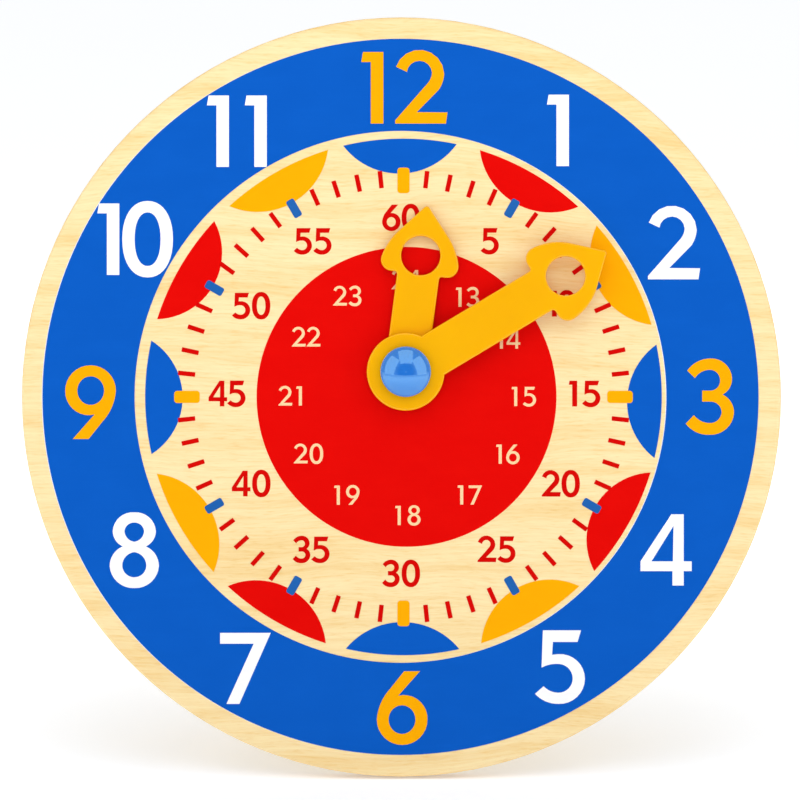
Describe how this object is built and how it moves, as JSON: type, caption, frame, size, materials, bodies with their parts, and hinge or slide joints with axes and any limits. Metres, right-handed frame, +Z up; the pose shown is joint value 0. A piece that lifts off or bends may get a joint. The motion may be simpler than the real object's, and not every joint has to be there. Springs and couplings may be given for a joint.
{
  "type": "geared teaching clock",
  "caption": "Round wooden teaching clock on a folding easel leg, with hour and minute hands geared together behind the dial.",
  "frame": {"origin": "on the small flat that the dial stands on, straight under the rear edge of the rim", "axes": "+Z up, +Y to the back of the clock, +X to the right seen from the front; the dial leans back 12 degrees"},
  "size_m": [0.3, 0.1008, 0.2944],
  "materials": {
    "birch_ply": "clear satin lacquer",
    "yellow_plastic": "satin moulded",
    "blue_plastic": "gloss moulded",
    "white_plastic": "satin moulded",
    "clear_plastic": "clear gloss",
    "bright_steel": "ground",
    "zinc_steel": "zinc plated",
    "spring_steel": "blued",
    "red_fibre": "vulcanised fibre",
    "dark_rubber": "matt"
  },
  "bodies": {
    "dial": {"dial_board": "birch_ply", "centre_bush": "white_plastic", "gear_case_base": "white_plastic", "gear_case_cover": "clear_plastic", "case_screws": "zinc_steel", "idler_post": "bright_steel", "idler_clip": "spring_steel", "hinge_leaf_board": "zinc_steel", "board_hinge_screws": "zinc_steel", "hinge_pin": "bright_steel"},
    "idler": {"idler_gear": "blue_plastic"},
    "hour": {"hour_wheel": "yellow_plastic", "hour_washer": "white_plastic", "hour_hand": "yellow_plastic"},
    "minute": {"minute_arbor": "bright_steel", "minute_pinion": "yellow_plastic", "minute_washer": "white_plastic", "minute_hand": "yellow_plastic", "cap_grip_ring": "white_plastic", "dome_cap": "blue_plastic", "friction_washer": "red_fibre", "setting_knob": "blue_plastic", "knob_screw": "zinc_steel"},
    "stand": {"hinge_leaf_leg": "zinc_steel", "leg_hinge_screws": "zinc_steel", "stand_leg": "birch_ply", "foot_pads": "dark_rubber"}
  },
  "joints": [
    {"name": "minute_turn", "type": "hinge", "parent": "dial", "child": "minute", "pos_m": [0.00165, 0.0256, 0.1576], "axis": [0, 0.9781, -0.2079], "continuous": true},
    {"name": "idler_turn", "type": "hinge", "parent": "dial", "child": "idler", "pos_m": [0.00165, 0.02061, 0.13412], "axis": [0, 0.9781, -0.2079], "continuous": true},
    {"name": "hour_turn", "type": "hinge", "parent": "dial", "child": "hour", "pos_m": [0.00165, 0.0256, 0.1576], "axis": [0, 0.9781, -0.2079], "continuous": true},
    {"name": "leg_fold", "type": "hinge", "parent": "dial", "child": "stand", "pos_m": [0, 0.05296, 0.22958], "axis": [1, 0, 0], "range_deg": [-20, 0]}
  ],
  "couplings": [
    {"joint": "idler_turn", "follows": "minute_turn", "ratio": -0.33333},
    {"joint": "hour_turn", "follows": "minute_turn", "ratio": 0.083333}
  ]
}
